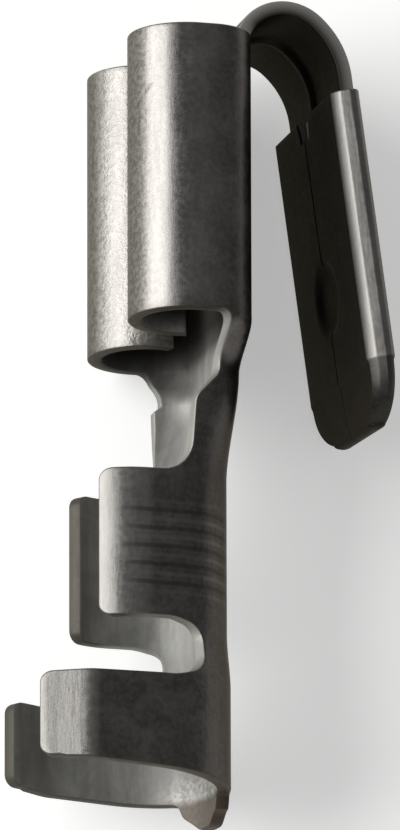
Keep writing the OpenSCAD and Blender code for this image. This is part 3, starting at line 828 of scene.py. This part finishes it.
# the grooves painted dark as shade, the ridges with a painted highlight
plate = painted(plate, GROOVE_DARK, grooves, 0.55)
plate = painted(plate, RIDGE_PAINTED_HIGHLIGHT, ramp(tree, ribs, 0.2, 0.02), marked, 0.16)

# bare brass on the cut edges: lighter low down in the notches, browned on wing tips, painted dark
# as shade on the roll ends, grey on the arch; over it the painted shade and the browned nub
BRASS_BROWN = 0.06, 0.055, 0.044, 1
BRASS_LIGHTER_LOW = 0.3, 0.293, 0.27, 1
BRASS_GREY = 0.4, 0.39, 0.36, 1
BRASS_ROLL_END_SHADE = 0.06, 0.054, 0.036, 1
BRASS_NUB = 0.11, 0.088, 0.07, 1
PAINTED_SHADE = 0.022, 0.02, 0.018, 1
low_down = times(ramp(tree, along_sheet, 1.5, 2.5), ramp(tree, across_both, 4.7, 3.7))
roll_end = times(ramp(tree, across_both, 4.6, 5.2),
                 ramp(tree, along_sheet, rolls_start - 0.3, rolls_start))
# the cut edges are lighter low down in the notches
bare = painted(BRASS_BROWN, BRASS_LIGHTER_LOW, low_down)
bare = painted(bare, BRASS_GREY, ramp(tree, along_sheet, mouth - 0.2, mouth + 0.1))
# painted shade on the roll ends' cut edges
bare = painted(bare, BRASS_ROLL_END_SHADE, roll_end, 0.9)
plate = painted(plate, bare, cut_edge, 0.93)
# the painted shade: inside the receptacle, on the arch's hollow side, on the tab's flap face and
# coined tip
plate = painted(plate, PAINTED_SHADE, painted_shade, 0.93)
plate = painted(plate, BRASS_NUB, ramp(tree, along_sheet, 0.2, -0.1), 0.85)
tree.links.new(plate, shader.inputs["Base Color"])

# the crystals on inner faces and the torn cut edges scatter more than the rubbed outside
matt = maths(tree, "MAXIMUM", is_inner, times(cut_edge, 0.8))
tree.links.new(maths(tree, "MULTIPLY_ADD", matt, -0.42, 0.9), shader.inputs["Metallic"])
rough = ramp(tree, grained["Crystals"], 0, 1, 0.3, 0.36)
for mask, share in ((grained["Stains"], 0.05), (matt, 0.18), (painted_shade, 0.15)):
    rough = maths(tree, "MULTIPLY_ADD", mask, share, rough)
tree.links.new(rough, shader.inputs["Roughness"])
# the left roll's crest keeps its frosted crystals; elsewhere they are worn nearly smooth
kept_frost = times(roll_highlight_band, ramp(tree, across, -6.6, -7.6, 0.25, 1.1))
height = times(grained["Crystals"], maths(tree, "ADD", kept_frost, 0.2))
height = maths(tree, "MULTIPLY_ADD", streaked, 0.5, height)
height = maths(tree, "SUBTRACT", height, grooves)
bump = node(tree, "Bump", Strength=0.2, Distance=0.02 * MILLIMETRE, Height=height)
tree.links.new(bump.outputs["Normal"], shader.inputs["Normal"])
mesh.materials.append(tin)

# ---------------------------------------------------------------------------------------------
# The floor, the light and the camera: a pale bench that looks white, one soft window on the
# left, and a long lens above the part, turned so that the part stands upright in the frame.
# ---------------------------------------------------------------------------------------------
floor_mesh = bpy.data.meshes.new("floor")
floor_mesh.from_pydata([(-1, -1, 0), (1, -1, 0), (1, 1, 0), (-1, 1, 0)], [], [(0, 1, 2, 3)])
floor = bpy.data.objects.new("floor", floor_mesh)
bpy.context.scene.collection.objects.link(floor)
paper = bpy.data.materials.new("pale_floor")
paper.use_nodes = True
paper_tree = paper.node_tree
paper_shader = paper_tree.nodes["Principled BSDF"]
paper_shader.inputs["Base Color"].default_value = 0.88, 0.88, 0.87, 1
paper_shader.inputs["Roughness"].default_value = 0.9
paper_shader.inputs["Emission Color"].default_value = 1, 1, 1, 1
# it glows a little to the eye and in reflections, and adds no other light
FLOOR_GLOW = 0.4
rays = node(paper_tree, "LightPath").outputs
seen = maths(paper_tree, "MAXIMUM", rays["Is Camera Ray"],
             maths(paper_tree, "MAXIMUM", rays["Is Glossy Ray"], rays["Is Transmission Ray"]))
paper_tree.links.new(maths(paper_tree, "MULTIPLY", seen, FLOOR_GLOW),
                     paper_shader.inputs["Emission Strength"])
floor_mesh.materials.append(paper)

WINDOW_AT = Vector((-0.25, 0.03, 0.13))
WINDOW_AIM = Vector((0, 0, 0.003))
WINDOW_SIZE = 0.27
WINDOW_WATTS = 1.15
window_light = bpy.data.lights.new("window", "AREA")
window_light.size, window_light.energy = WINDOW_SIZE, WINDOW_WATTS
window = bpy.data.objects.new("window", window_light)
window.location = WINDOW_AT
window.rotation_euler = (WINDOW_AIM - WINDOW_AT).to_track_quat("-Z", "Y").to_euler()
bpy.context.scene.collection.objects.link(window)
SKY_STRENGTH = 0.21
world = bpy.data.worlds.new("studio")
world.use_nodes = True
background = world.node_tree.nodes["Background"]
background.inputs["Color"].default_value = 1, 1, 1, 1
background.inputs["Strength"].default_value = SKY_STRENGTH
bpy.context.scene.world = world

# the camera is set up round the part as it was folded, in millimetres, and laid down with it
AZIMUTH, ELEVATION, ROLL = (math.radians(a) for a in (-15.04, -14.43, -0.16))
FRAME_HEIGHT = 22.609643
CENTRE_RIGHT = -0.72051
CENTRE_UP = 0.133206
MIDDLE = 10.5
DISTANCE = 357.0
SENSOR_HEIGHT = 24.0
LEAN_C, LEAN_S = math.cos(REST_LEAN), math.sin(REST_LEAN)


def upright_to_rest(v):
    """Turns a direction or place given as (towards the tab, depth, up along the part)."""
    return Vector((v[0] * LEAN_C - v[1] * LEAN_S, v[2], -v[1] * LEAN_C - v[0] * LEAN_S))


back = Vector((math.cos(ELEVATION) * math.sin(AZIMUTH), -math.cos(ELEVATION) * math.cos(AZIMUTH),
               math.sin(ELEVATION)))
right = Vector((math.cos(AZIMUTH), math.sin(AZIMUTH), 0))
up = back.cross(right)
right, up = (math.cos(ROLL) * right + math.sin(ROLL) * up,
             math.cos(ROLL) * up - math.sin(ROLL) * right)
eye = Vector((0, 0, MIDDLE)) + right * CENTRE_RIGHT + up * CENTRE_UP + back * DISTANCE
eye_w = (upright_to_rest(eye) + Vector(offset)) * MILLIMETRE
right_w, up_w, back_w = (upright_to_rest(v) for v in (right, up, back))
lens = bpy.data.cameras.new("camera")
lens.sensor_fit = "VERTICAL"
lens.sensor_height = SENSOR_HEIGHT
lens.lens = SENSOR_HEIGHT * DISTANCE / FRAME_HEIGHT
lens.clip_start = 0.01
camera = bpy.data.objects.new("camera", lens)
camera.matrix_world = Matrix((
    (right_w.x, up_w.x, back_w.x, eye_w.x),
    (right_w.y, up_w.y, back_w.y, eye_w.y),
    (right_w.z, up_w.z, back_w.z, eye_w.z),
    (0, 0, 0, 1)))
bpy.context.scene.collection.objects.link(camera)
bpy.context.scene.camera = camera
bpy.context.scene.view_settings.view_transform = "Standard"
